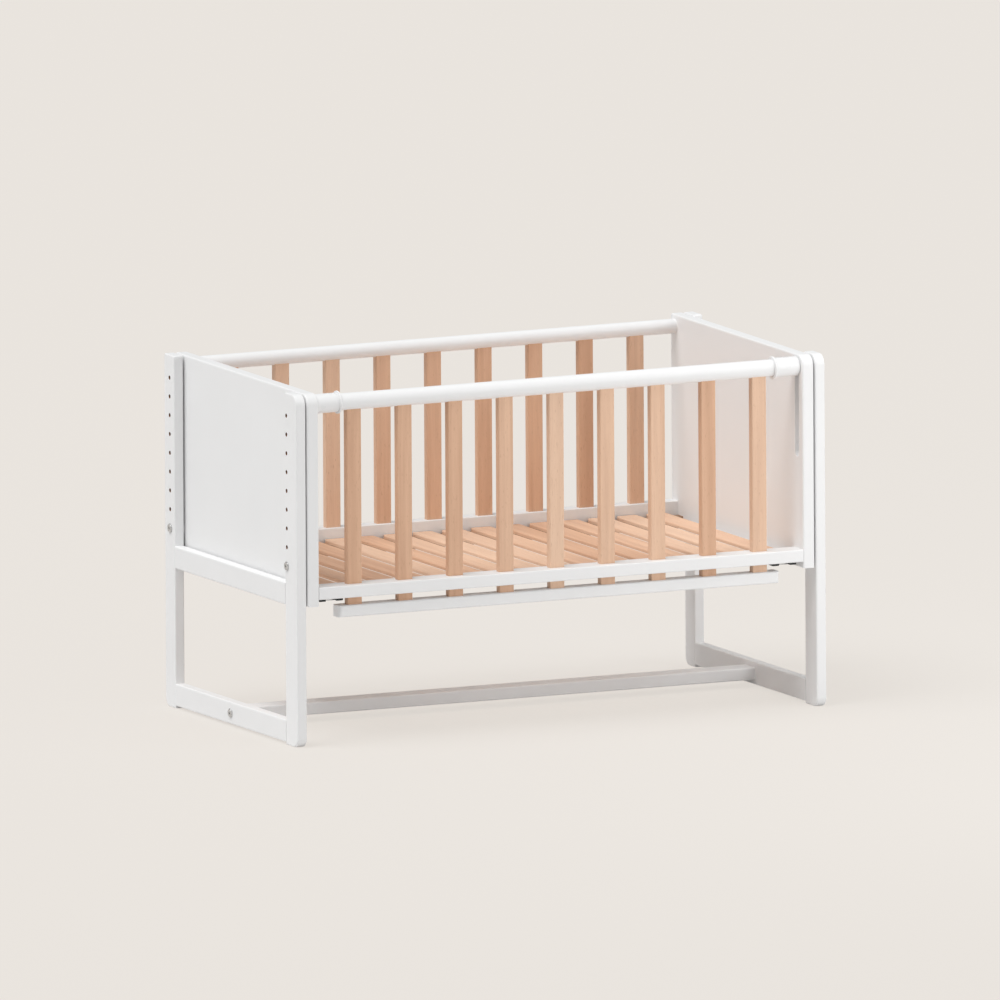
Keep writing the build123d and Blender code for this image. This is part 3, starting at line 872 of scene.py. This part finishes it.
@dataclass
class Studio:
    """A plain pale floor, a soft sky, a soft lamp from the upper left and a softbox at the front right."""

    backdrop: tuple = (0.8308, 0.7913, 0.7454)
    sky: float = 0.42
    key: float = 2.2
    key_angle: float = 40.0
    key_place: tuple = (0.0, 0.0, 3.0)
    key_travel: tuple = (0.44, 0.05, -0.897)
    softbox: float = 17.0
    softbox_size: float = 1.6
    softbox_place: tuple = (1.5, -1.6, 0.95)
    softbox_aim: tuple = (0.0, 0.0, 0.25)
    floor_size: float = 80.0
    floor_colour: tuple = (0.70, 0.69, 0.68)
    floor_glow: float = 0.8
    glow: tuple = (0.838, 0.790, 0.735)

    def world(self) -> None:
        """Lights the scene from all round, and shows the backdrop's colour past the floor's edge."""
        world = bpy.data.worlds.new("studio_sky")
        world.use_nodes = True
        bpy.context.scene.world = world
        nodes, links = world.node_tree.nodes, world.node_tree.links
        nodes.clear()
        light, shown = nodes.new("ShaderNodeBackground"), nodes.new("ShaderNodeBackground")
        light.inputs["Color"].default_value = (1.0, 1.0, 1.0, 1.0)
        light.inputs["Strength"].default_value = self.sky
        shown.inputs["Color"].default_value = (*self.backdrop, 1.0)
        path, mixer = nodes.new("ShaderNodeLightPath"), nodes.new("ShaderNodeMixShader")
        output = nodes.new("ShaderNodeOutputWorld")
        links.new(path.outputs["Is Camera Ray"], mixer.inputs[0])
        links.new(light.outputs[0], mixer.inputs[1])
        links.new(shown.outputs[0], mixer.inputs[2])
        links.new(mixer.outputs[0], output.inputs[0])

    def floor(self) -> None:
        """Lays the floor: matt, with some glow of its own for the camera, so that its shadow stays faint."""
        graph = Graph("studio_floor")
        nodes, links = graph.nodes, graph.links
        graph.finish(Base_Color=self.floor_colour, Roughness=1.0, Specular_IOR_Level=0.0)
        glow, path, mixer = (nodes.new(kind) for kind in
                             ("ShaderNodeEmission", "ShaderNodeLightPath", "ShaderNodeMixShader"))
        graph.put(glow.inputs["Color"], self.glow)
        mirrored = graph.math("MAXIMUM", path.outputs["Is Glossy Ray"], path.outputs["Is Transmission Ray"])
        seen = graph.math("MAXIMUM", path.outputs["Is Camera Ray"], mirrored)
        links.new(graph.math("MULTIPLY", seen, self.floor_glow), mixer.inputs[0])
        links.new(graph.surface.outputs[0], mixer.inputs[1])
        links.new(glow.outputs[0], mixer.inputs[2])
        links.new(mixer.outputs[0], nodes["Material Output"].inputs[0])
        half = self.floor_size / 2
        corners = np.array([[[-half, -half, 0.0], [half, -half, 0.0]],
                            [[-half, half, 0.0], [half, half, 0.0]]])
        grid_mesh("floor", corners, graph.material)

    def hang(self, name: str, kind: str, power: float, place: Vector, travel: Vector) -> bpy.types.Light:
        """Hangs a lamp that the camera doesn't see.

        Args:
            name: the lamp's name.
            kind: its type.
            power: its strength.
            place: where it hangs.
            travel: the way its light goes.

        Returns:
            The lamp's data.
        """
        data = bpy.data.lights.new(name, kind)
        data.energy = power
        lamp = bpy.data.objects.new(name, data)
        lamp.location = place
        lamp.rotation_euler = travel.to_track_quat("-Z", "Y").to_euler()
        lamp.visible_camera = False
        bpy.context.scene.collection.objects.link(lamp)
        return data

    def build(self) -> None:
        """Sets up the sky, floor and lamps."""
        self.world()
        self.floor()
        key = self.hang("key_lamp", "SUN", self.key, Vector(self.key_place), Vector(self.key_travel))
        key.angle = math.radians(self.key_angle)
        place = Vector(self.softbox_place)
        softbox = self.hang("softbox", "AREA", self.softbox, place, Vector(self.softbox_aim) - place)
        softbox.size = self.softbox_size
        LOG.info("studio set")


@dataclass
class Viewpoint:
    """A camera that keeps the crib's edges parallel, as a very long lens far away does."""

    azimuth: float = 25.2
    elevation: float = 9.0
    distance: float = 6.0
    frame_width: float = 1.682
    target: tuple = (0.0, 0.0, 0.3)
    shift_right: float = 0.0081
    shift_up: float = 0.0499
    roll: float = 0.31
    clip: tuple = (0.1, 100.0)

    def build(self) -> None:
        """Places the camera: back from the target along the view, moved and rolled in the picture's plane."""
        turn, rise = math.radians(self.azimuth), math.radians(self.elevation)
        ahead = Vector((math.sin(turn) * math.cos(rise), math.cos(turn) * math.cos(rise), -math.sin(rise)))
        right = Vector((math.cos(turn), -math.sin(turn), 0.0))
        up = right.cross(ahead)
        data = bpy.data.cameras.new("viewpoint")
        data.type = "ORTHO"
        data.ortho_scale = self.frame_width
        data.clip_start, data.clip_end = self.clip
        camera = bpy.data.objects.new("viewpoint", data)
        middle = Vector(self.target) + right * self.shift_right + up * self.shift_up
        tilt = Matrix.Rotation(math.radians(self.roll), 3, ahead)
        turned = Matrix((tilt @ right, tilt @ up, -ahead)).transposed().to_4x4()
        camera.matrix_world = Matrix.Translation(middle - ahead * self.distance) @ turned
        bpy.context.scene.collection.objects.link(camera)
        bpy.context.scene.camera = camera


def main() -> None:
    """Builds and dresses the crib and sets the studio."""
    logging.basicConfig(level=logging.INFO)
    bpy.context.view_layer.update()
    bpy.context.scene.view_settings.view_transform = "Standard"
    Viewpoint().build()
    Studio().build()
    upright = Beech(Grain.ALONG_Z, Slats.UPRIGHT).build()
    white = WHITE_PLASTIC.build()
    black = BLACK_PLASTIC.build()
    steel = Steel().build()
    LegFrames().dress()
    Box().dress(upright)
    DropSide().dress(upright)
    for side in SIDES:
        Lock(side).build(white, steel)
        BeltLoop(side).build(black, steel)
    Fasteners().dress(steel, white)


if __name__ == "__main__":
    main()
